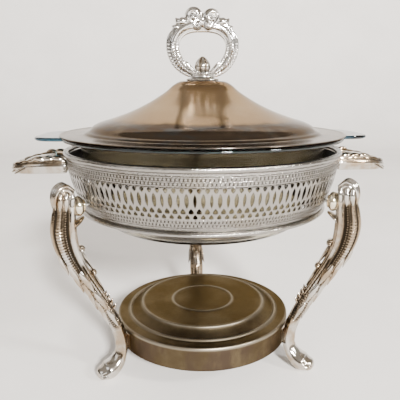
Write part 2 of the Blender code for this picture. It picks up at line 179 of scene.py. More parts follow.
def worn_silver(name, bright, warm, crevice, roughness, warmth=0.5, grain=0.12):
    """Silver plate: bright where it is rubbed, warm where it has yellowed, and dark where it is hollow, with
    tarnish and painted shade.
    """
    finish, shader, wire = new_finish(name, Metallic=1.0)
    place = wire.add("TexCoord", output="Object")
    cloud = noise(wire, place, 42, 4.0)
    speck = noise(wire, place, 900, 2.0)
    hollow = wire.add("Attribute", {"attribute_name": "hollow"}, output="Fac")
    yellowed = (cloud + hollow * 0.25).between(0.62 - 0.25 * warmth, 0.80 - 0.2 * warmth) * warmth
    # Dark in the hollows: tarnish, with painted shade laid over it.
    dark = (hollow * (speck + 0.75)).between(0.12, 1.0)
    worn = yellowed.blend(bright, warm)
    wire.put(shader.inputs["Base Color"], dark.blend(worn, crevice))
    wire.put(shader.inputs["Roughness"], cloud * 0.16 + speck * 0.10 + dark * 0.22 + (roughness - 0.13))
    bump = wire.add("Bump", {}, {"Strength": grain, "Distance": 0.0003,
                                 "Height": speck * (hollow * 3 + 1) + cloud * 2})
    wire.put(shader.inputs["Normal"], bump)
    return finish


def new_piece(name, points, faces, finish, hollow=None, crease=42):
    """A smooth-shaded object from points and faces, with its hollows marked for the tarnish and painted
    shade.
    """
    mesh = bpy.data.meshes.new(name)
    mesh.from_pydata(np.asarray(points).tolist(), [], faces)
    if hollow is not None:
        mesh.attributes.new("hollow", "FLOAT", "POINT").data.foreach_set("value", np.asarray(hollow, "f"))
    shape = bmesh.new()
    shape.from_mesh(mesh)
    bmesh.ops.recalc_face_normals(shape, faces=shape.faces)
    shape.to_mesh(mesh)
    shape.free()
    mesh.materials.append(finish)
    mesh.shade_smooth()
    mesh.set_sharp_from_angle(angle=math.radians(crease))
    piece = bpy.data.objects.new(name, mesh)
    bpy.context.scene.collection.objects.link(piece)
    return piece


def bump_at(value, centre, spread):
    """1 at the centre, falling to nothing a few spreads away."""
    return np.exp(-((value - centre) / spread) ** 2)


def band_radius(height):
    """Outside radius of the band, in metres, at a height."""
    share = np.clip((height - band_low) / (band_high - band_low), 0, 1)
    return BAND_RADIUS - BAND_FLARE * (1 - share) ** 1.7


def petal(centre, low, high, half, foot, head, spare):
    """Outline of an opening in millimetres, counter-clockwise, cut off at the cell's sides. foot and head
    say how its ends close, and it is larger by spare all round."""
    t = (1 - np.cos(np.linspace(0, math.pi, 9))) / 2
    peak = foot / (foot + head)
    width = t ** foot * (1 - t) ** head * (half + spare) / (peak ** foot * (1 - peak) ** head)
    height = low - spare + (high - low + 2 * spare) * t
    right = np.column_stack([centre + width, height])
    left = np.column_stack([centre - width, height])[::-1]
    if centre == 0:
        return right
    return left if centre == CELL else np.vstack([right, left[1:-1]])


def pierced_cell():
    """Flat triangles of one cell: its points in millimetres, its faces and the points on a rim."""
    points, edges, holes, rims = [], [], [], set()

    def chain(outline, looped):
        start = len(points)
        points.extend(Vector(p) for p in outline)
        names = list(range(start, len(points)))
        edges.extend(zip(names, names[1:]))
        if looped:
            edges.append((names[-1], names[0]))
        return names

    low, high = (height * 1000 for height in PIERCED)
    across = [CELL * k / COLUMNS for k in range(COLUMNS + 1)]
    bottom = chain([(u, low) for u in across], False)
    top = chain([(u, high) for u in across], False)
    edges.extend([(bottom[0], top[0]), (bottom[-1], top[-1])])
    for opening in OPENINGS:
        inside = 0 < opening[0] < CELL
        chain(petal(*opening, CHAMFER), inside)
        rim = chain(petal(*opening, 0.0), True)
        rims.update(rim)
        holes.append(rim)
    found, _, faces, before, _, within = delaunay_2d_cdt(points, edges, holes, 0, 1e-4, True)
    kept = [list(face) for face, hole in zip(faces, within) if not hole]
    on_rim = np.array([any(k in rims for k in names) for names in before])
    return np.array([tuple(p) for p in found]), kept, on_rim


def strip(heights):
    """Flat points and faces of a plain stretch of the band, as rows at the given heights."""
    u = np.arange(CELLS * COLUMNS + 1) * CELL / COLUMNS
    grid = np.stack(np.meshgrid(u, heights), -1)
    index = np.arange(grid.shape[0] * grid.shape[1]).reshape(grid.shape[:2])
    quads = np.stack([index[:-1, :-1], index[:-1, 1:], index[1:, 1:], index[1:, :-1]], -1)
    return grid.reshape(-1, 2), quads.reshape(-1, 4).tolist(), np.zeros(grid.shape[0] * grid.shape[1])


def joined(sheets):
    """One flat sheet from several, with the points that they share welded: its points, its faces, which
    points are on a rim, and each point's number by its place on the weld's grid."""
    flat, faces, rim = [], [], []
    for points, some, on_rim in sheets:
        start = sum(map(len, flat))
        flat.append(points)
        rim.append(on_rim)
        faces += [[v + start for v in face] for face in some]
    flat = np.vstack(flat)
    key = np.round(flat / WELD).astype(int)
    key[:, 0] %= round(CELLS * CELL / WELD)
    key, first, name = np.unique(key, axis=0, return_index=True, return_inverse=True)
    name = name.ravel()
    faces = [[int(name[v]) for v in face] for face in faces]
    numbers = {tuple(place): number for number, place in enumerate(key.tolist())}
    return flat[first], faces, np.concatenate(rim)[first], numbers


def struck(u, height):
    """Relief of the two borders in millimetres: raised lines, with rows of small beads between them."""
    relief = np.zeros(len(u))
    for line in LINES:
        relief += LINE_RELIEF * bump_at(height, line, 0.38)
    for k, row in enumerate(BEAD_ROWS):
        beads = 0.5 - 0.5 * np.cos(math.tau * (u / BEAD_PITCH + 0.5 * k))
        relief += BEAD_RELIEF * bump_at(height, row, 0.66) * beads
    return relief


def pierced_band():
    """Both faces of the sheet and the walls of its openings."""
    cell, cell_faces, on_rim = pierced_cell()
    cells = [(cell + (k * CELL, 0), cell_faces, on_rim) for k in range(CELLS)]
    low, high = band_low * 1000, band_high * 1000
    first, last = (height * 1000 for height in PIERCED)
    outer = joined(cells + [strip(np.linspace(low, first, BORDER_ROWS[0])),
                            strip(np.linspace(last, high, BORDER_ROWS[1]))])
    inner = joined(cells + [strip(np.array([low, first])), strip(np.array([last, high]))])
    points, hollow = [], []
    for (flat, _, rim, _), face in ((outer, 1), (inner, 0)):
        u, height = flat.T
        angle = math.tau * u / (CELLS * CELL)
        relief = struck(u, height) * face
        patterned = np.any([(height > start) & (height < end) for start, end in BORDERS], axis=0)
        radius = band_radius(height / 1000) + relief / 1000 - rim * face * CHAMFER / 1000
        radius -= (1 - face) * BAND_SHEET
        points.append(np.stack([radius * np.cos(angle), AXIS_Y + radius * np.sin(angle), height / 1000], -1))
        # Dark with tarnish and painted shade in the hollows of the borders, with painted shade round the rim
        # of each opening and over the whole inside face.
        carved = np.where(patterned, np.clip(0.75 - relief * 2.2, 0, 1), 0) + rim * 0.55
        hollow.append(carved * face + (1 - face) * 0.8)
    offset = len(points[0])
    faces = outer[1] + [[v + offset for v in face[::-1]] for face in inner[1]]
    used = {(a, b) for face in outer[1] for a, b in zip(face, face[1:] + face[:1])}
    match = {number: inner[3][place] + offset for place, number in outer[3].items() if place in inner[3]}
    faces += [[b, a, match[a], match[b]] for a, b in used if (b, a) not in used]
    return np.vstack(points), faces, np.concatenate(hollow)


sheet_silver = worn_silver("sheet_silver", (0.345, 0.33, 0.307), (0.28, 0.235, 0.17), (0.022, 0.018, 0.013),
                           roughness=0.17, warmth=0.4, grain=0.95)
band_points, band_faces, band_hollow = pierced_band()
band = new_piece("band_pierced", band_points, band_faces, sheet_silver, band_hollow)
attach(band, "stand")
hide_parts("gallery_band")


# ---- Top bead and bottom rim ----
# The band's upper edge is rolled into a smooth bead. Its lower edge is swaged onto a rim with a half-round
# bead outside and a flat ledge inside, on which the glass stands.
bead_low, bead_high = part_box("gallery_top_bead")
rim_low, rim_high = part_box("gallery_bottom_rim")


def flowing(points, steps):
    """Smooth curve through the points, made of centripetal Catmull-Rom spans."""
    p = np.asarray(points, float)
    p = np.vstack([2 * p[0] - p[1], p, 2 * p[-1] - p[-2]])
    curve = []
    for a, b, c, d in zip(p, p[1:], p[2:], p[3:]):
        t1 = np.linalg.norm(b - a) ** 0.5
        t2 = t1 + np.linalg.norm(c - b) ** 0.5
        t3 = t2 + np.linalg.norm(d - c) ** 0.5
        t = np.linspace(t1, t2, steps, endpoint=False)[:, None]
        a1 = (t1 - t) / t1 * a + t / t1 * b
        a2 = (t2 - t) / (t2 - t1) * b + (t - t1) / (t2 - t1) * c
        a3 = (t3 - t) / (t3 - t2) * c + (t - t2) / (t3 - t2) * d
        b1 = (t2 - t) / t2 * a1 + t / t2 * a2
        b2 = (t3 - t) / (t3 - t1) * a2 + (t - t1) / (t3 - t1) * a3
        curve.append((t2 - t) / (t2 - t1) * b1 + (t - t1) / (t2 - t1) * b2)
    return np.vstack(curve + [p[-2:-1]])


def spun(profile, steps=256, centre=(0, AXIS_Y, 0), direction=(0, 0, 1), swell=0.0):
    """Rings of points from (radius, height) pairs spun about an axis. swell makes them flutes or lobes."""
    radius, height = np.asarray(profile, float).T
    angle = np.linspace(0, math.tau, steps, endpoint=False)
    rings = radius[:, None] * (1 + np.broadcast_to(swell, (len(radius), steps)))
    local = np.stack([rings * np.cos(angle), rings * np.sin(angle), np.outer(height, np.ones(steps))], -1)
    turn = np.array(Vector(direction).to_track_quat("Z", "Y").to_matrix())
    return local @ turn.T + np.array(centre)


class Casting:
    """A mesh built up from skins, each a grid of points whose rows are rings."""

    def __init__(self):
        self.points = np.empty((0, 3))
        self.hollow = np.empty(0)
        self.faces = []

    def skin(self, grid, hollow=0.0, closed=False):
        """Adds the surface through a grid. closed joins its ends, and otherwise each end is capped."""
        rows, columns = grid.shape[:2]
        index = len(self.points) + np.arange(rows * columns).reshape(rows, columns)
        if not closed:
            self.faces += [index[0][::-1].tolist(), index[-1].tolist()]
        index = np.hstack([index, index[:, :1]])
        if closed:
            index = np.vstack([index, index[:1]])
        quads = np.stack([index[:-1, :-1], index[:-1, 1:], index[1:, 1:], index[1:, :-1]], -1)
        self.faces += quads.reshape(-1, 4).tolist()
        self.points = np.vstack([self.points, grid.reshape(-1, 3)])
        self.hollow = np.append(self.hollow, np.broadcast_to(hollow, (rows, columns)).ravel())
        return self

    def piece(self, name, finish, crease=42):
        return new_piece(name, self.points, self.faces, finish, self.hollow, crease)


# The bead is a tube round the band's edge, 0.2 mm thicker than its place in height so that no gap shows.
bead_middle = (bead_low.z + bead_high.z) / 2
bead_round = (bead_high.z - bead_low.z) / 2 + 0.0002
around = np.radians(np.arange(-100, 250, 14))
bead_profile = np.column_stack([BAND_RADIUS + bead_round * np.cos(around),
                                bead_middle + bead_round * np.sin(around)])
bead = Casting().skin(spun(bead_profile), closed=True).piece("top_bead", sheet_silver)
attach(bead, "stand")
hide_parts("gallery_top_bead")

swage = rim_high.x
rim_outside = flowing([(swage - 0.0026, rim_high.z), (swage - 0.0014, rim_high.z - 0.0001),
                       (swage - 0.0001, rim_high.z - 0.0013), (swage - 0.0004, rim_high.z - 0.0027),
                       (swage - 0.0018, rim_low.z + 0.0004), (swage - 0.0036, rim_low.z)], 5)
ledge = [(0.0925, rim_low.z + 0.0009), (0.0858, rim_low.z + 0.0022), (0.0857, rim_low.z + 0.0031),
         (0.0861, rim_low.z + 0.0034), (swage - 0.0040, rim_low.z + 0.0034)]
rim = Casting().skin(spun(np.vstack([rim_outside, ledge])), closed=True).piece("bottom_rim", sheet_silver)
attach(rim, "stand")
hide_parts("gallery_bottom_rim")


# ---- Legs ----
# Three cast cabriole legs from one mould, silver plated. Each has a scrolled knee under a shell, a ladder of
# ribs with raised edges, overlapping leaves down its shin, curls on its inside and a smooth pad foot.
LEG_AZIMUTHS = {"left": 210, "right": 330, "back": 90}
# Distance from the dish's axis, height, half depth and half width of the leg, from its knee to its toe.
LEG_STATIONS = [(0.1180, 0.1600, 0.0020, 0.0036), (0.1190, 0.1545, 0.0064, 0.0064),
                (0.1194, 0.1420, 0.0078, 0.0072), (0.1204, 0.1270, 0.0090, 0.0072),
                (0.1176, 0.1115, 0.0079, 0.0064), (0.1110, 0.0965, 0.0062, 0.0060),
                (0.1014, 0.0790, 0.0052, 0.0060), (0.0915, 0.0610, 0.0047, 0.0064),
                (0.0832, 0.0440, 0.0043, 0.0064), (0.0795, 0.0290, 0.0043, 0.0060),
                (0.0806, 0.0185, 0.0049, 0.0066), (0.0852, 0.0108, 0.0062, 0.0080),
                (0.0918, 0.0066, 0.0073, 0.0088), (0.0966, 0.0056, 0.0052, 0.0072)]
LEG_SIDES = 56
SIDEWAYS = (0, -1, 0)
# Leaves down the shin, from the top row: their angles from its outside, in degrees, the height of the first
# row's roots, the step from row to row, a leaf's length, and how far it stands off from its root to its tip.
LEAF_ROWS = [(0,)] + [(-34, 34), (0, -78, 78)] * 3
LEAF_TOP = 0.1140
LEAF_STEP = 0.0085
LEAF_LENGTH = 0.0165
LEAF_LIFT = np.array([0.78, 0.98, 1.08, 1.14, 1.34])


def smooth_step(value, start, stop):
    """0 up to start, 1 from stop, and smooth between them."""
    share = np.clip((value - start) / (stop - start), 0, 1)
    return share * share * (3 - 2 * share)


def zone(value, low, high, edge=0.003):
    """1 between two limits, with soft edges."""
    return smooth_step(value, low - edge, low + edge) * (1 - smooth_step(value, high - edge, high + edge))


def swept(path, deep, wide, side, sides, closed=False, relief=None, hollow=0.0):
    """Rings along a path, deep at right angles to side and wide along it. Open ends are rounded off. It
    gives the grid of points and its hollows."""
    path = np.asarray(path, float)
    if closed:
        ahead = np.roll(path, -1, 0) - np.roll(path, 1, 0)
    else:
        ahead = np.gradient(path, axis=0)
    ahead /= np.linalg.norm(ahead, axis=1, keepdims=True)
    side = np.broadcast_to(np.asarray(side, float), path.shape)
    out = np.cross(side, ahead)
    out /= np.linalg.norm(out, axis=1, keepdims=True)
    turn = np.linspace(0, math.tau, sides, endpoint=False)
    across = out[:, None] * np.cos(turn)[:, None]
    along = side[:, None] * np.sin(turn)[:, None]
    deep = np.broadcast_to(deep, len(path))[:, None, None]
    wide = np.broadcast_to(wide, len(path))[:, None, None]
    spokes = across * deep + along * wide
    if relief is not None:
        spokes = spokes + (across + along) * relief[..., None]
    grid = path[:, None] + spokes
    hollow = np.broadcast_to(hollow, (len(path), sides))
    if closed:
        return grid, hollow
    for end, sign in ((0, -1), (-1, 1)):
        shares = np.array([0.45, 0.75, 0.93, 0.999])
        reach = ahead[end] * sign * float(deep[end, 0, 0])
        caps = [path[end] + reach * s + spokes[end] * math.sqrt(1 - s * s) for s in shares]
        grid = np.concatenate([caps[::-1], grid] if sign < 0 else [grid, caps])
    return grid, np.pad(hollow, ((4, 4), (0, 0)), "edge")


def horn(points, deep, wide, side, sides=12, blunt=0.25, hollow=0.0):
    """A leaf or curl: swept along a curve, widest near its root and drawn out to a tip that is blunt times
    as wide."""
    path = flowing(points, 5)
    t = np.linspace(0, 1, len(path))
    shape = blunt + (1 - blunt) * np.sin(math.pi * (0.18 + 0.82 * t)) ** 0.8
    return swept(path, deep * shape, wide * shape, side, sides, hollow=hollow)


def volute(centre, axis, radius, depth, turns=1.8, ridge=0.0007, hand=1, rows=40, columns=40):
    """A snail-like scroll: a flat ball with a spiral ridge on both of its faces."""
    axis = Vector(axis).normalized()
    first = Vector((0, 0, 1)) if abs(axis.z) < 0.9 else Vector((1, 0, 0))
    second = axis.cross(first).normalized()
    first = second.cross(axis)
    fall = np.linspace(0.06, math.pi - 0.06, rows)[:, None]
    turn = np.linspace(0, math.tau, columns, endpoint=False)[None]
    share = np.sin(fall) ** 0.8
    phase = math.tau * turns * share + turn * hand
    face = np.sign(np.cos(fall)) * np.abs(np.cos(fall)) ** 0.75
    lift = ridge * np.cos(phase) * np.abs(np.cos(fall)) ** 0.5 * np.sign(np.cos(fall))
    grid = (np.array(centre) + (radius * share * np.cos(turn))[..., None] * np.array(first)
            + (radius * share * np.sin(turn))[..., None] * np.array(second)
            + (depth * face + lift)[..., None] * np.array(axis))
    # Its hollows, dark along the spiral between the ridges: tarnish and painted shade.
    return grid, np.clip(0.15 - 0.35 * np.cos(phase), 0, 1) * np.abs(np.cos(fall)) ** 0.3


def leg_relief(path, turn):
    """The leg's carving in metres, and its hollows from 0 to 1, on rings whose points are turn degrees from
    its outside. The hollows carry tarnish and painted shade, and painted shade is added on the leg's inside."""
    run = np.append(0, np.cumsum(np.linalg.norm(np.diff(path, axis=0), axis=1)))[:, None]
    height = path[:, 2:]
    away = np.minimum(turn, 360 - turn)
    # The thigh: a ladder of ribs, a row of beads beside it and the grooves that part them.
    upper = zone(height, 0.092, 0.147, 0.005)
    ribs = 0.5 + 0.5 * np.cos(math.tau * run / 0.0021)
    ladder = (0.0002 + 0.0005 * ribs * zone(height, 0.098, 0.131)) * zone(away, 38, 70, 4) * upper
    beads = 0.0005 * (0.4 + 0.6 * np.cos(math.tau * run / 0.0018)) * bump_at(away, 86, 6) * upper
    grooves = -0.0007 * (bump_at(away, 31, 5) + bump_at(away, 77, 5) + bump_at(away, 98, 6)) * upper
    # The shin: a spine down its outside, scales, and dots under them.
    spine = 0.0007 * bump_at(away, 0, 20) * zone(height, 0.024, 0.142)
    scales = 0.00035 * np.abs(np.cos(math.pi * (run / 0.0034 + away / 80))) * zone(height, 0.056, 0.094)
    scales = scales * (1 - smooth_step(away, 125, 145))
    dots = 0.0005 * np.cos(math.tau * run / 0.0022) * np.cos(np.radians(turn * 7))
    dots = dots * zone(height, 0.043, 0.070)
    # The foot: four soft edges at the ankle, and toes.
    ankle = 0.0005 * np.cos(np.radians(turn * 4)) * zone(height, 0.016, 0.044)
    toe = 0.0005 * np.cos(np.radians(turn * 14)) * smooth_step(path[:, :1], 0.092, 0.097) * (away > 60)
    relief = ladder + beads + grooves + spine + scales + dots + ankle + toe
    # Painted shade and tarnish in the carving, and painted shade on the inside of the leg, towards the dish.
    carved = np.clip(upper * (away < 108) + zone(height, 0.044, 0.100) * (away < 145), 0, 1)
    hollow = np.clip(0.62 - relief / 0.0010, 0, 1) * carved
    return relief, hollow + 0.35 * smooth_step(away, 110, 150) * zone(height, 0.05, 0.145)


def add_shin_leaves(leg, stations):
    """Leaves that lie over each other down the outside of the shin, as tiles do."""
    outward = np.column_stack([-np.gradient(stations[:, 1]), np.gradient(stations[:, 0])])
    outward /= np.linalg.norm(outward, axis=1, keepdims=True)
    for k, angles in enumerate(LEAF_ROWS):
        top = LEAF_TOP - LEAF_STEP * k
        z = np.linspace(top, top - LEAF_LENGTH, len(LEAF_LIFT))
        rho, deep, wide, out, rise = (np.interp(-z, -stations[:, 1], column) for column in
                                      (*stations.T[[0, 2, 3]], *outward.T))
        for angle in angles:
            lean = math.radians(angle)
            off = deep * math.cos(lean) * LEAF_LIFT
            points = np.column_stack([rho + off * out, -wide * math.sin(lean) * LEAF_LIFT, z + off * rise])
            side = (-math.sin(lean) * out[2], -math.cos(lean), -math.sin(lean) * rise[2])
            leg.skin(*horn(points, 0.0015, 0.0012 + 0.011 * top, side, blunt=0.15, hollow=0.04))


def add_knee(leg):
    """The scroll of the knee, the four ribs of its shell, and three leaf tips on each cheek."""
    leg.skin(*volute((0.1180, 0, 0.1545), SIDEWAYS, 0.0064, 0.0072, turns=1.3, ridge=0.0005))
    for y in (-0.0046, -0.0016, 0.0016, 0.0046):
        leg.skin(*horn([(0.1130, y, 0.1575), (0.1180, y * 1.1, 0.1612), (0.1235, y * 1.1, 0.1585),
                        (0.1262, y, 0.1520), (0.1262, y * 0.8, 0.1450)], 0.0014, 0.0015, SIDEWAYS))
    for y in (-0.0070, 0.0070):
        for rho, tip, size in ((0.1232, 0.1440, 0.0019), (0.1190, 0.1425, 0.0021), (0.1147, 0.1455, 0.0017)):
            leg.skin(*horn([(rho - 0.0004, y * 0.92, 0.1560), (rho, y * 1.04, 0.1520),
                            (rho + 0.0004, y, 0.1475), (rho + 0.0008, y * 0.9, tip)],
                           size, 0.0015, SIDEWAYS, blunt=0.1))


def add_inner_curls(leg):
    """On the leg's inside: a curl below the boss, two scrolls with a leaf each, and three pairs of tips."""
    leg.skin(*horn([(0.1150, 0, 0.1290), (0.1115, 0, 0.1322), (0.1083, 0, 0.1345), (0.1056, 0, 0.1362)],
                   0.0017, 0.0060, SIDEWAYS, sides=16, blunt=0.45))
    for rho, z, size, wide in ((0.1087, 0.1125, 0.0030, 0.0046), (0.1004, 0.0925, 0.0026, 0.0040)):
        leg.skin(*volute((rho, 0, z), SIDEWAYS, size, wide, turns=1.0, ridge=0.0004, rows=20, columns=20))
        leg.skin(*horn([(rho + 0.0005, 0, z - 0.0010), (rho - 0.0030, 0, z - 0.0085),
                        (rho - 0.0088, 0, z - 0.0190)], 0.0017, wide * 0.9, SIDEWAYS, blunt=0.1))
    for rho, z in ((0.0908, 0.0705), (0.0884, 0.0657), (0.0860, 0.0610)):
        for y in (-0.0024, 0.0024):
            leg.skin(*horn([(rho + 0.0025, y * 0.7, z - 0.0050), (rho - 0.0002, y, z - 0.0010),
                            (rho - 0.0016, y * 1.3, z + 0.0026)], 0.0013, 0.0018, SIDEWAYS, blunt=0.2))


def leg_casting():
    """One leg pointing along +X from the dish's axis, cut off flat where it stands."""
    stations = flowing(LEG_STATIONS, 30)
    path = np.column_stack([stations[:, 0], np.zeros(len(stations)), stations[:, 1]])
    relief, hollow = leg_relief(path, np.linspace(0, 360, LEG_SIDES, endpoint=False)[None])
    grid, hollow = swept(path, stations[:, 2], stations[:, 3], SIDEWAYS, LEG_SIDES, relief=relief,
                         hollow=hollow)
    grid[..., 2] = np.maximum(grid[..., 2], 0)
    leg = Casting().skin(grid, hollow)
    add_shin_leaves(leg, stations)
    add_knee(leg)
    add_inner_curls(leg)
    return leg


def set_round(mould, name, azimuth):
    """The piece of that name at its place round the dish: the mould, which was made along +X, or a copy."""
    piece = mould
    if mould.name != name:
        piece = mould.copy()
        piece.name = name
        bpy.context.scene.collection.objects.link(piece)
    piece.location = (0, AXIS_Y, 0)
    piece.rotation_euler = (0, 0, math.radians(azimuth))
    return piece


cast_silver = worn_silver("cast_silver", (0.59, 0.565, 0.525), (0.31, 0.21, 0.11), (0.02, 0.015, 0.01),
                          roughness=0.14, warmth=0.8, grain=0.22)
leg_mould = leg_casting().piece("leg_left_casting", cast_silver, crease=55)
for name, azimuth in LEG_AZIMUTHS.items():
    leg = set_round(leg_mould, f"leg_{name}_casting", azimuth)
    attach(leg, "stand")
    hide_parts(f"leg_{name}")


# ---- Leg bosses and screws ----
# A polished ball on a short neck stands each leg off from the band. A screw from inside the band goes
# through it into the knee, and keeps all three together.
BOSS_HEIGHT = 0.1447
BOSS_END = 0.1136              # inside the knee, from the dish's axis
boss_start = float(band_radius(BOSS_HEIGHT + 0.0050)) + 0.0003
boss_gold = worn_silver("boss_gold", (0.86, 0.78, 0.62), (0.66, 0.48, 0.26), (0.12, 0.08, 0.04),
                        roughness=0.16, warmth=0.8, grain=0.06)
boss_length = BOSS_END - boss_start
boss_profile = flowing([(0.0003, 0), (0.0042, 0.0001), (0.0050, 0.0006), (0.0047, 0.0012), (0.0064, 0.0020),
                        (0.0074, boss_length * 0.42), (0.0066, boss_length * 0.74),
                        (0.0038, boss_length * 0.97), (0.0003, boss_length)], 5)
boss_mould = Casting().skin(spun(boss_profile, 48, (boss_start, 0, BOSS_HEIGHT), (1, 0, 0)))
boss_mould = boss_mould.piece("boss_left_ball", boss_gold)
for name, azimuth in LEG_AZIMUTHS.items():
    boss = set_round(boss_mould, f"boss_{name}_ball", azimuth)
    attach(boss, "stand")
    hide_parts(f"leg_boss_{name}")


def dull_steel(name):
    """Grey screw steel, finely pitted, with a few brown specks."""
    finish, shader, wire = new_finish(name, Metallic=1.0)
    place = wire.add("TexCoord", output="Object")
    rust = noise(wire, place, 420, 4.0).between(0.56, 0.72)
    fine = noise(wire, place, 2500, 2.0)
    wire.put(shader.inputs["Base Color"], rust.blend((0.52, 0.51, 0.49), (0.20, 0.12, 0.07)))
    wire.put(shader.inputs["Roughness"], fine * 0.2 + rust * 0.3 + 0.22)
    bump = wire.add("Bump", {}, {"Strength": 0.2, "Distance": 0.0001, "Height": fine})
    wire.put(shader.inputs["Normal"], bump)
    return finish


screw_steel = dull_steel("screw_steel")
for name in LEG_AZIMUTHS:
    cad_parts[f"leg_screw_{name}"].material_slots[0].material = screw_steel


# ---- Side handles ----
# Two cast loops on the band, one on each side. A smooth front rail, a leafy crest and a shell of leaves
# that fills the loop's tip, with a small knob at its end.
HANDLE_ROOT = 0.1080           # where its ends meet the band, from the dish's axis
HANDLE_TIP = 0.1512
HANDLE_SPAN = 0.0243           # half of its width
HANDLE_HEIGHT = 0.1690
HANDLE_SIDES = 36


def handle_casting():
    """The handle on the +X side, from the dish's axis."""
    turn = np.linspace(math.pi / 2, -math.pi / 2, 121)
    tipness = np.abs(np.cos(turn)) ** 0.80
    path = np.column_stack([HANDLE_ROOT + (HANDLE_TIP - HANDLE_ROOT) * tipness,
                            HANDLE_SPAN * np.sign(np.sin(turn)) * np.abs(np.sin(turn)) ** 0.85,
                            HANDLE_HEIGHT - 0.0034 * tipness ** 3])
    ring = np.linspace(0, 360, HANDLE_SIDES, endpoint=False)[None]
    run = np.append(0, np.cumsum(np.linalg.norm(np.diff(path, axis=0), axis=1)))[:, None]
    above = zone(ring, 38, 142, 14)
    crest = 0.0005 * np.abs(np.sin(math.pi * run / 0.0075)) * above
    line = -0.0006 * (bump_at(ring, 34, 8) + bump_at(ring, 146, 8))
    rail = 0.0004 * bump_at(ring, 0, 14) + 0.0004 * bump_at(ring, 360, 14) - 0.0004 * bump_at(ring, 320, 9)
    relief = crest + line + rail
    # Dark in the hollows of the crest and along the two grooves: tarnish and painted shade.
    hollow = np.clip(0.30 - relief / 0.0012, 0, 1) * (above + bump_at(ring, 34, 10) + bump_at(ring, 146, 10))
    high = 0.0056 - 0.0020 * tipness ** 5
    handle = Casting()
    handle.skin(*swept(path, 0.0026, high, (0, 0, 1), HANDLE_SIDES, relief=relief,
                       hollow=np.clip(hollow, 0, 1)))
    # The shell of five leaves, from its outermost pair to the middle one.
    for k in (-2, 2, -1, 1, 0):
        lean = math.radians(k * 30)
        start = np.array([0.1500 - 0.0120 * (1 - math.cos(lean)), 0.0226 * math.sin(lean), 0.1652])
        aim = np.array([0.1270 - 0.0040 * abs(k) / 2, 0.0125 * math.sin(lean), 0.1736])
        rise = np.array([0, 0, 0.0018 - 0.0003 * abs(k)])
        handle.skin(*horn([start, start * 0.65 + aim * 0.35 + rise, start * 0.3 + aim * 0.7 + rise, aim],
                          0.0058, 0.0017, (0, 0, 1), blunt=0.3, hollow=0.12))
    # The knob at the tip, and leaf tips along the top of both arms.
    handle.skin(spun(flowing([(0.0002, -0.0030), (0.0022, -0.0022), (0.0031, 0), (0.0022, 0.0022),
                              (0.0002, 0.0030)], 4), 20, (HANDLE_TIP + 0.0004, 0, 0.1662), (0, 0, 1)))
    for side in (-1, 1):
        for x, size in ((0.1120, 0.0026), (0.1190, 0.0023), (0.1260, 0.0020)):
            y = side * (HANDLE_SPAN - 0.0008)
            handle.skin(*horn([(x - 0.0040, y, 0.1722), (x, y, 0.1745), (x + 0.0040, y * 0.99, 0.1748),
                               (x + 0.0072, y * 0.98, 0.1730)], size, size, (0, 1, 0), blunt=0.2))
    return handle


handle_mould = handle_casting().piece("handle_right_casting", cast_silver, crease=55)
for name, azimuth in (("right", 0), ("left", 180)):
    handle = set_round(handle_mould, f"handle_{name}_casting", azimuth)
    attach(handle, "stand")
    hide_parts(f"side_handle_{name}")


# ---- Burner tray ----
# A spun tray, open underneath, with a step and a raised ring round the place where the burner stands. Three
# lugs and screws hold it between the ankles. Its plating has turned olive brown, rubbed brighter on its rings
# and top edge, with a painted highlight there as well.
TRAY_SHEET = 0.0010
RAISED = 0.0005                # height of the ring round the burner's place
RUBBED_AND_HIGHLIGHT_RINGS = ((0.0642, 0.0034), (0.0533, 0.0030), (0.0263, 0.0026))     # radius and half width
tray_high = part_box("burner_tray")[1]
tray_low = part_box("burner_tray")[0].z
TRAY_RADIUS = tray_high.x
flat_top = tray_high.z - RAISED


def lining(profile, sheet):
    """The profile's other face, a sheet's thickness under it, run the other way."""
    ahead = np.gradient(profile, axis=0)
    ahead /= np.linalg.norm(ahead, axis=1, keepdims=True)
    return (profile + sheet * np.column_stack([ahead[:, 1], -ahead[:, 0]]))[::-1]


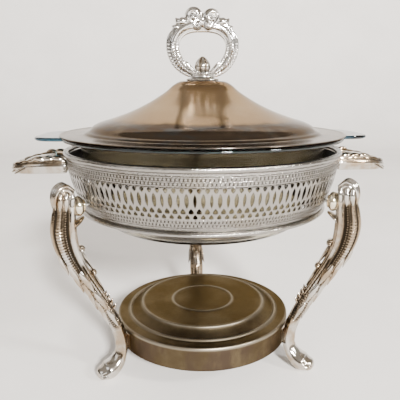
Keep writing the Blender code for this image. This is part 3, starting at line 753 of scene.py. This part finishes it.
def brown_plate(name):
    """Tarnished plate of the tray: cloudy brown, rubbed brighter with a painted highlight on its rings and
    top edge, darker in upright streaks on its wall, with fine turning lines."""
    finish, shader, wire = new_finish(name, Metallic=1.0, Specular_Tint=(0.42, 0.41, 0.39, 1.0))
    place = wire.add("TexCoord", output="Object")
    flat = wire.add("VectorMath", {"operation": "SUBTRACT"}, {0: place, 1: Vector((0, AXIS_Y, 0))})
    flat = wire.add("VectorMath", {"operation": "MULTIPLY"}, {0: flat, 1: Vector((1, 1, 0))})
    radius = wire.add("VectorMath", {"operation": "LENGTH"}, {0: flat}, output="Value")
    cloud = noise(wire, place, 34, 5.0)
    speck = noise(wire, place, 420, 3.0)
    lines = wire.add("TexNoise", {"noise_dimensions": "1D"}, {"W": radius, "Scale": 1500, "Detail": 2.0})
    brown = cloud.between(0.38, 0.66).blend((0.075, 0.055, 0.031), (0.115, 0.088, 0.052))
    speckled = (speck.between(0.60, 0.72) * 0.6).blend(brown, (0.07, 0.05, 0.03))
    height = wire.add("SeparateXYZ", {}, {0: place}, output="Z")
    # Brighter on the top edge of the wall and on the rings: wear, with a painted highlight.
    worn = radius.between(0.0722, 0.0740) * height.between(flat_top - 0.0100, flat_top - 0.0080) * 0.9
    for ring, spread in RUBBED_AND_HIGHLIGHT_RINGS:
        far = abs(radius - ring)
        worn = worn + (1 - far.between(0.0, spread)) * 0.75
    worn = worn * (cloud * 0.8 + 0.5)
    tall = wire.add("VectorMath", {"operation": "MULTIPLY"}, {0: place, 1: Vector((1, 1, 0.4))})
    # Darker in upright streaks on the wall.
    wall_streaks = noise(wire, tall, 48, 5.0).between(0.42, 0.62) * radius.between(0.0738, 0.0743)
    speckled = wall_streaks.blend(speckled, (0.07, 0.05, 0.035))
    wire.put(shader.inputs["Base Color"], worn.between(0.0, 1.0).blend(speckled, (0.27, 0.235, 0.18)))
    wire.put(shader.inputs["Roughness"], cloud * 0.22 + speck * 0.12 + lines * 0.08 + 0.16)
    bump = wire.add("Bump", {}, {"Strength": 0.25, "Distance": 0.0002, "Height": lines + speck})
    wire.put(shader.inputs["Normal"], bump)
    return finish


tray_top = flowing([(0.0004, flat_top), (0.0120, flat_top), (0.0243, flat_top), (0.0254, flat_top + 0.0003),
                    (0.0263, flat_top + RAISED), (0.0272, flat_top + 0.0003), (0.0285, flat_top),
                    (0.0400, flat_top), (0.0514, flat_top), (0.0524, flat_top + 0.0003),
                    (0.0534, flat_top + 0.0003), (0.0544, flat_top - 0.0008),
                    (0.0565, flat_top - 0.0026), (0.0600, flat_top - 0.0048),
                    (0.0622, flat_top - 0.0058), (0.0630, flat_top - 0.0051), (0.0640, flat_top - 0.0046),
                    (0.0650, flat_top - 0.0051), (0.0660, flat_top - 0.0061), (0.0700, flat_top - 0.0063),
                    (0.0730, flat_top - 0.0066), (0.0741, flat_top - 0.0073),
                    (TRAY_RADIUS, flat_top - 0.0088), (TRAY_RADIUS, 0.0280),
                    (TRAY_RADIUS, tray_low + 0.0008), (TRAY_RADIUS - 0.0003, tray_low)], 4)
tray_profile = np.vstack([tray_top, lining(tray_top, TRAY_SHEET)])
tray_profile[:, 0] = np.maximum(tray_profile[:, 0], 0.0004)
tray_brown = brown_plate("tray_brown")
tray = Casting().skin(spun(tray_profile)).piece("tray_spun", tray_brown)
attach(tray, "stand")
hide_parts("burner_tray")
for name in LEG_AZIMUTHS:
    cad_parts[f"tray_lug_{name}"].material_slots[0].material = cast_silver
    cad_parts[f"tray_screw_{name}"].material_slots[0].material = screw_steel


# ---- Glass casserole ----
# Pressed ovenproof glass, clear with a blue-green cast where it is thick, and tinted brown in its wall as
# painted shade. Its rim is a flange with a tab at each side to lift it by, and its foot hangs through the
# ledge of the gallery.
glass_low, glass_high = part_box("glass_dish")
GLASS_RIM = 0.1125
GLASS_FLOOR = 0.0036           # thickness of its floor
FLANGE = 0.0026                # thickness of its flange
TAB_WIDTH = 0.0310             # half of a tab's width
GLASS_STEPS = 240


def pressed_glass(name):
    """Clear glass: tinted brown through its wall as painted shade, with a dull film high up on it, and deep
    blue-green in the flange and the tabs."""
    finish, shader, wire = new_finish(name, Transmission_Weight=1.0, IOR=1.49)
    place = wire.add("TexCoord", output="Object")
    split = wire.add("SeparateXYZ", {}, {0: place}, output="Z")
    ripple = noise(wire, place, 60, 2.0)
    rim = split.between(glass_high.z - FLANGE - 0.0012, glass_high.z - FLANGE + 0.0002)
    # The brown tint of the wall is painted shade.
    wall = ripple.between(0.3, 0.7).blend((0.45, 0.41, 0.315), (0.54, 0.515, 0.425))
    wire.put(shader.inputs["Base Color"], rim.blend(wall, (0.02, 0.09, 0.14)))
    film = split.between(glass_high.z - 0.0220, glass_high.z - 0.0140) * (1 - rim)
    wire.put(shader.inputs["Roughness"], ripple * 0.03 + film * 0.16 + 0.005)
    bump = wire.add("Bump", {}, {"Strength": 0.15, "Distance": 0.0006, "Height": ripple})
    wire.put(shader.inputs["Normal"], bump)
    return finish


def glass_grid():
    """Rings of the casserole, with its flange drawn out into two tabs."""
    top = glass_high.z
    floor = glass_low.z
    outside = flowing([(0.0004, floor), (0.0400, floor), (0.0690, floor), (0.0752, floor + 0.0006),
                       (0.0796, floor + 0.0030), (0.0818, floor + 0.0066), (0.0848, floor + 0.0155),
                       (0.0925, floor + 0.0410), (0.0972, floor + 0.0590), (0.0990, top - FLANGE - 0.0016),
                       (0.1006, top - FLANGE)], 5)
    flange = flowing([(0.1040, top - FLANGE), (0.1085, top - FLANGE), (0.1118, top - FLANGE + 0.0001),
                      (GLASS_RIM, top - FLANGE / 2), (0.1118, top - 0.0001), (0.1085, top),
                      (0.1040, top), (0.0992, top)], 4)
    inside = flowing([(0.0965, top - 0.0014), (0.0942, top - 0.0060), (0.0892, floor + 0.0410),
                      (0.0816, floor + 0.0160), (0.0790, floor + 0.0088), (0.0750, floor + 0.0048),
                      (0.0690, floor + GLASS_FLOOR), (0.0400, floor + GLASS_FLOOR),
                      (0.0004, floor + GLASS_FLOOR)], 5)
    profile = np.vstack([outside, flange, inside])
    grid = spun(profile, GLASS_STEPS)
    angle = np.linspace(0, math.tau, GLASS_STEPS, endpoint=False)
    reach = np.clip(1 - (np.abs(np.sin(angle)) * GLASS_RIM / TAB_WIDTH) ** 4, 0, 1) ** 0.7
    tip = glass_high.x / np.maximum(np.abs(np.cos(angle)), 0.5)
    outwards = smooth_step(profile[:, 0], 0.1010, GLASS_RIM)
    stretch = 1 + (tip / GLASS_RIM - 1)[None] * reach[None] * outwards[:, None]
    grid[..., 0] *= stretch
    grid[..., 1] = AXIS_Y + (grid[..., 1] - AXIS_Y) * stretch
    return grid


glass_clear = pressed_glass("glass_clear")
glass = Casting().skin(glass_grid()).piece("glass_casserole", glass_clear)
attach(glass, "dish")
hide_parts("glass_dish")


# ---- Lid shell and collar ----
# A spun lid with a flat brim, a low shoulder and a hollow cone that rises to a small flat top. Its plating
# has tarnished tan; the darker belt round the shoulder is tarnish and a painted reflection, and painted
# highlights lie near the brim. A turned collar sits under the handle.
LID_SHEET = 0.0009
STUD_HOLE = 0.0024             # its radius
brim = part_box("lid_shell")[0].z + LID_SHEET
lid_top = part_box("lid_shell")[1].z
BRIM_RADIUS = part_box("lid_shell")[1].x
# Colours of the lid by height, as shares of the way from the brim to the top: tarnish, with painted
# highlights near the brim and a painted dark reflection in the belt round the shoulder. The ramp's two ends
# come first, then the stops between them.
LID_TARNISH_AND_LIGHT_BELTS = [(0.0, (0.20, 0.165, 0.13)), (1.0, (0.20, 0.125, 0.065)), (0.02, (0.10, 0.08, 0.06)),
             (0.12, (0.13, 0.10, 0.075)), (0.20, (0.08, 0.06, 0.045)), (0.25, (0.06, 0.042, 0.03)),
             (0.29, (0.36, 0.25, 0.145)), (0.52, (0.45, 0.33, 0.205)), (0.80, (0.43, 0.30, 0.17))]


def tan_plate(name):
    """Tarnish of the lid with painted highlights and a painted reflection, in belts by height that run into
    each other, with streaks round the shoulder.
    """
    finish, shader, wire = new_finish(name, Metallic=1.0, Specular_Tint=(0.56, 0.54, 0.52, 1.0))
    place = wire.add("TexCoord", output="Object")
    height = wire.add("SeparateXYZ", {}, {0: place}, output="Z")
    long = wire.add("VectorMath", {"operation": "MULTIPLY"}, {0: place, 1: Vector((1, 1, 5))})
    cloud = noise(wire, place, 30, 5.0)
    streak = noise(wire, long, 55, 4.0)
    speck = noise(wire, place, 700, 3.0)
    level = (height - brim) * (1 / (lid_top - brim)) + (streak - 0.5) * 0.10
    # Belts of tarnish, painted highlight and painted reflection.
    belts = wire.add("ValToRGB", {"stops": LID_TARNISH_AND_LIGHT_BELTS}, {"Fac": level})
    grey = streak.between(0.46, 0.64) * (1 - level.between(0.24, 0.28)) * 0.8
    tinted = grey.blend(belts, (0.10, 0.105, 0.11))
    pale = (cloud.between(0.50, 0.72) * 0.35).blend(tinted, (0.52, 0.42, 0.31))
    pitted = (speck.between(0.64, 0.72) * 0.5).blend(pale, (0.10, 0.07, 0.04))
    wire.put(shader.inputs["Base Color"], pitted)
    wire.put(shader.inputs["Roughness"], cloud * 0.14 + speck * 0.06 + 0.05)
    bump = wire.add("Bump", {}, {"Strength": 0.12, "Distance": 0.0004, "Height": cloud * 3 + speck * 0.4})
    wire.put(shader.inputs["Normal"], bump)
    return finish


lid_outside = flowing([(STUD_HOLE, lid_top), (0.0110, lid_top), (0.0150, lid_top), (0.0185, lid_top - 0.0004),
                       (0.0232, lid_top - 0.0028), (0.0294, lid_top - 0.0080), (0.0440, lid_top - 0.0171),
                       (0.0590, lid_top - 0.0242), (0.0738, lid_top - 0.0294), (0.0818, lid_top - 0.0318),
                       (0.0876, lid_top - 0.0345), (0.0914, (lid_top - 0.0370 + brim) / 2 + 0.0010),
                       (0.0936, brim + 0.0018), (0.0956, brim + 0.0005), (0.0985, brim + 0.0001),
                       (0.1060, brim), (0.1112, brim), (0.1126, brim + 0.0003),
                       (BRIM_RADIUS - 0.0001, brim + 0.0001), (BRIM_RADIUS, brim - 0.0004)], 8)
lid_inside = lining(lid_outside, LID_SHEET)
lid_inside[:, 1] = np.maximum(lid_inside[:, 1], brim - LID_SHEET)
lid_inside[:, 0] = np.clip(lid_inside[:, 0], STUD_HOLE, BRIM_RADIUS)
lid_tan = tan_plate("lid_tan")
shell = Casting().skin(spun(np.vstack([lid_outside, lid_inside])), closed=True).piece("lid_spun", lid_tan)
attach(shell, "lid")
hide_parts("lid_shell")

COLLAR_STEPS = 360
COLLAR_BEADS = 36
collar_low, collar_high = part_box("lid_collar")
rim_beads = 0.018 * np.cos(np.linspace(0, math.tau * COLLAR_BEADS, COLLAR_STEPS, endpoint=False))[None]
collar_profile = flowing([(STUD_HOLE, collar_low.z), (0.0100, collar_low.z), (0.0124, collar_low.z + 0.0001),
                          (0.0128, collar_low.z + 0.0007), (0.0122, collar_high.z - 0.0004),
                          (0.0108, collar_high.z), (0.0060, collar_high.z), (STUD_HOLE, collar_high.z)], 4)
collar = Casting().skin(spun(collar_profile, COLLAR_STEPS, swell=rim_beads * (collar_profile[:, :1] > 0.011)),
                        closed=True).piece("collar_turned", cast_silver)
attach(collar, "lid")
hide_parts("lid_collar")


# ---- Lid ring, bud and fixings ----
# The handle is one casting: a ribbed ring with two scrolls on its crest, leaf tips on its shoulders and a
# flat hub. A fluted bud stands in it, and a stud, washer and nut hold both to the lid from below.
RING_TOP = 0.2768              # heights of the ring's middle line, and half of its width
RING_BOTTOM = 0.2372
RING_HALF = 0.0234
RING_STEPS = 180
RING_SIDES = 40
UPRIGHT = (0, 1, 0)            # the ring and its leaves stand at right angles to this


def ring_casting():
    """The ring, standing upright across the dish."""
    turn = np.linspace(0, math.tau, RING_STEPS, endpoint=False)
    middle = (RING_TOP + RING_BOTTOM) / 2
    path = np.column_stack([RING_HALF * np.sin(turn) * (1 - 0.10 * np.cos(turn)), np.full(RING_STEPS, AXIS_Y),
                            middle - (RING_TOP - RING_BOTTOM) / 2 * np.cos(turn)])
    section = np.linspace(0, 360, RING_SIDES, endpoint=False)[None]
    face = np.abs(np.abs(section - 180) - 90)     # degrees from the middle of the front or back
    outer = (np.cos(np.radians(section)) > 0) * np.abs(np.cos(np.radians(section)))
    turn = turn[:, None]
    upper = smooth_step(-np.cos(turn), -0.2, 0.5)
    middle_rib = 0.0009 * bump_at(face, 0, 15)
    grooves = -0.0008 * bump_at(face, 33, 9)
    edge_rib = 0.0005 * bump_at(face, 62, 12)
    lobes = 0.0008 * np.abs(np.cos(turn * 6.5)) * outer * upper
    hatch = 0.0004 * np.cos(turn * 58 + np.radians(face) * 3) * (1 - upper) * (face < 70)
    relief = middle_rib + grooves + edge_rib + lobes + hatch
    # Dark in the grooves: tarnish and painted shade.
    hollow = np.clip(0.10 - relief / 0.0020, 0, 1)
    deep = 0.0050 - 0.0028 * np.maximum(0, np.cos(turn[:, 0])) ** 4
    deep = deep + 0.0018 * np.maximum(0, -np.cos(turn[:, 0])) ** 6
    ring = Casting()
    ring.skin(*swept(path, deep, 0.0036, UPRIGHT, RING_SIDES, closed=True, relief=relief, hollow=hollow),
              closed=True)
    # On each side a scroll of the crest, a small scroll under it and two leaf tips on the shoulder, and on
    # both faces a leaf along the shoulder and another at the foot.
    for side, lift, hand in ((-1, 0.0007, 1), (1, -0.0003, -1)):
        ring.skin(*volute((side * 0.0070, AXIS_Y, 0.2814 + lift), UPRIGHT, 0.0070, 0.0056, turns=1.7,
                          ridge=0.0007, hand=hand))
        ring.skin(*volute((side * 0.0044, AXIS_Y - 0.0006, 0.2758), UPRIGHT, 0.0048, 0.0056, turns=1.1,
                          ridge=0.0006, hand=-hand, rows=26, columns=26))
        ring.skin(*horn([(side * 0.0110, AXIS_Y, 0.2762), (side * 0.0150, AXIS_Y, 0.2778),
                         (side * 0.0186, AXIS_Y, 0.2782), (side * 0.0206, AXIS_Y, 0.2800)],
                        0.0036, 0.0044, UPRIGHT, blunt=0.25))
        ring.skin(*horn([(side * 0.0165, AXIS_Y, 0.2725), (side * 0.0208, AXIS_Y, 0.2738),
                         (side * 0.0238, AXIS_Y, 0.2746)], 0.0022, 0.0036, UPRIGHT, blunt=0.2))
        for y in (AXIS_Y - 0.0030, AXIS_Y + 0.0030):
            ring.skin(*horn([(side * 0.0020, y, 0.2745), (side * 0.0085, y, 0.2738),
                             (side * 0.0150, y, 0.2722), (side * 0.0196, y, 0.2668)],
                            0.0015, 0.0014, UPRIGHT, blunt=0.15))
            ring.skin(*horn([(side * 0.0130, y, 0.2470), (side * 0.0090, y, 0.2420),
                             (side * 0.0062, y, 0.2388)], 0.0016, 0.0014, UPRIGHT, blunt=0.3))
    # The leaf between the scrolls, and the hub.
    ring.skin(*horn([(0, AXIS_Y, 0.2758), (0, AXIS_Y - 0.0006, 0.2800), (0, AXIS_Y, 0.2836)],
                    0.0030, 0.0030, UPRIGHT, blunt=0.35))
    hub = collar_high.z + 0.0003
    ring.skin(spun(flowing([(0.0004, hub), (0.0090, hub), (0.0103, hub + 0.0006), (0.0100, hub + 0.0018),
                            (0.0080, hub + 0.0031), (0.0040, hub + 0.0034), (0.0004, hub + 0.0034)], 4), 64))
    return ring


ring_silver = worn_silver("ring_silver", (0.74, 0.72, 0.69), (0.46, 0.38, 0.28), (0.04, 0.034, 0.028),
                          roughness=0.13, warmth=0.3, grain=0.18)
ring = ring_casting().piece("ring_casting", ring_silver, crease=55)
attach(ring, "lid")
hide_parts("lid_ring")

BUD_FLUTES = 8
BUD_STEPS = 96
bud_low, bud_high = (corner.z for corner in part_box("lid_bud"))
bud_tall = bud_high - bud_low
bud_profile = flowing([(0.0004, bud_low), (0.0042, bud_low), (0.0050, bud_low + bud_tall * 0.06),
                       (0.0061, bud_low + bud_tall * 0.18), (0.0064, bud_low + bud_tall * 0.36),
                       (0.0054, bud_low + bud_tall * 0.62), (0.0034, bud_low + bud_tall * 0.84),
                       (0.0014, bud_low + bud_tall * 0.97), (0.0004, bud_high)], 5)
lobes = np.abs(np.cos(np.linspace(0, math.tau * BUD_FLUTES / 2, BUD_STEPS, endpoint=False)))[None] ** 0.6
# Dark between the flutes: tarnish and painted shade.
bud = Casting().skin(spun(bud_profile, BUD_STEPS, swell=0.10 * lobes - 0.10), hollow=0.9 - lobes)
bud = bud.piece("bud_fluted", cast_silver)
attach(bud, "lid")
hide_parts("lid_bud")
for name in ("lid_stud", "lid_washer", "lid_nut"):
    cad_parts[name].material_slots[0].material = screw_steel


# ---- Floor and light ----
# A plain pale floor that curves up into a plain wall, a soft key light in front, a small one on the right, a
# wide fill on the left, and a room that is darker on its left and overhead for the metal to reflect.
FLOOR_HALF = 3.0               # half of its width
FLOOR_FRONT = -2.5
BEND_START = 1.3
BEND_RADIUS = 0.5
WALL_TOP = 2.5
LIGHTS_AIM = Vector((0, 0, 0.12))


def studio_floor():
    """The floor and the wall behind it, as one sheet with a quarter-round between them."""
    bend = [(BEND_START + BEND_RADIUS * math.sin(a), BEND_RADIUS - BEND_RADIUS * math.cos(a))
            for a in np.linspace(0, math.pi / 2, 17)]
    run = [(FLOOR_FRONT, 0.0), (0.0, 0.0)] + bend + [(BEND_START + BEND_RADIUS, WALL_TOP)]
    points = [(x, y, z) for y, z in run for x in (-FLOOR_HALF, FLOOR_HALF)]
    faces = [[2 * k, 2 * k + 1, 2 * k + 3, 2 * k + 2] for k in range(len(run) - 1)]
    finish, shader, wire = new_finish("pale_floor", Roughness=0.75)
    place = wire.add("TexCoord", output="Object")
    tone = noise(wire, place, 6, 3.0).between(0.3, 0.7)
    wire.put(shader.inputs["Base Color"], tone.blend((0.82, 0.795, 0.77), (0.86, 0.835, 0.81)))
    return new_piece("studio_floor", points, faces, finish)


def soft_light(name, place, size, watts, colour):
    """A round area light that looks at the middle of the dish."""
    light = bpy.data.lights.new(name, "AREA")
    light.shape = "DISK"
    light.size = size
    light.energy = watts
    light.color = colour
    lamp = bpy.data.objects.new(name, light)
    lamp.location = place
    lamp.rotation_euler = (LIGHTS_AIM - Vector(place)).to_track_quat("-Z", "Y").to_euler()
    bpy.context.scene.collection.objects.link(lamp)


studio_floor()
soft_light("key_light", (0.80, -3.20, 1.62), 0.52, 460.0, (1.0, 0.97, 0.93))
soft_light("side_light", (1.50, -1.10, 1.15), 0.32, 36.0, (1.0, 0.98, 0.95))
soft_light("fill_light", (-2.00, -1.10, 1.30), 1.40, 9.0, (0.95, 0.97, 1.0))

room = bpy.data.worlds.new("room")
bpy.context.scene.world = room
room.use_nodes = True
room_wire = Wire(room.node_tree)
facing = room_wire.add("TexCoord", output="Generated")
sideways = room_wire.add("SeparateXYZ", {}, {0: facing}, output="X")
upwards = room_wire.add("SeparateXYZ", {}, {0: facing}, output="Z")
walls = sideways.between(-0.9, 0.8).blend((0.12, 0.105, 0.09), (0.58, 0.56, 0.53))
room_colour = upwards.between(0.10, 0.70).blend(walls, (0.44, 0.39, 0.33))
room_wire.put(room.node_tree.nodes["Background"].inputs["Color"], room_colour)
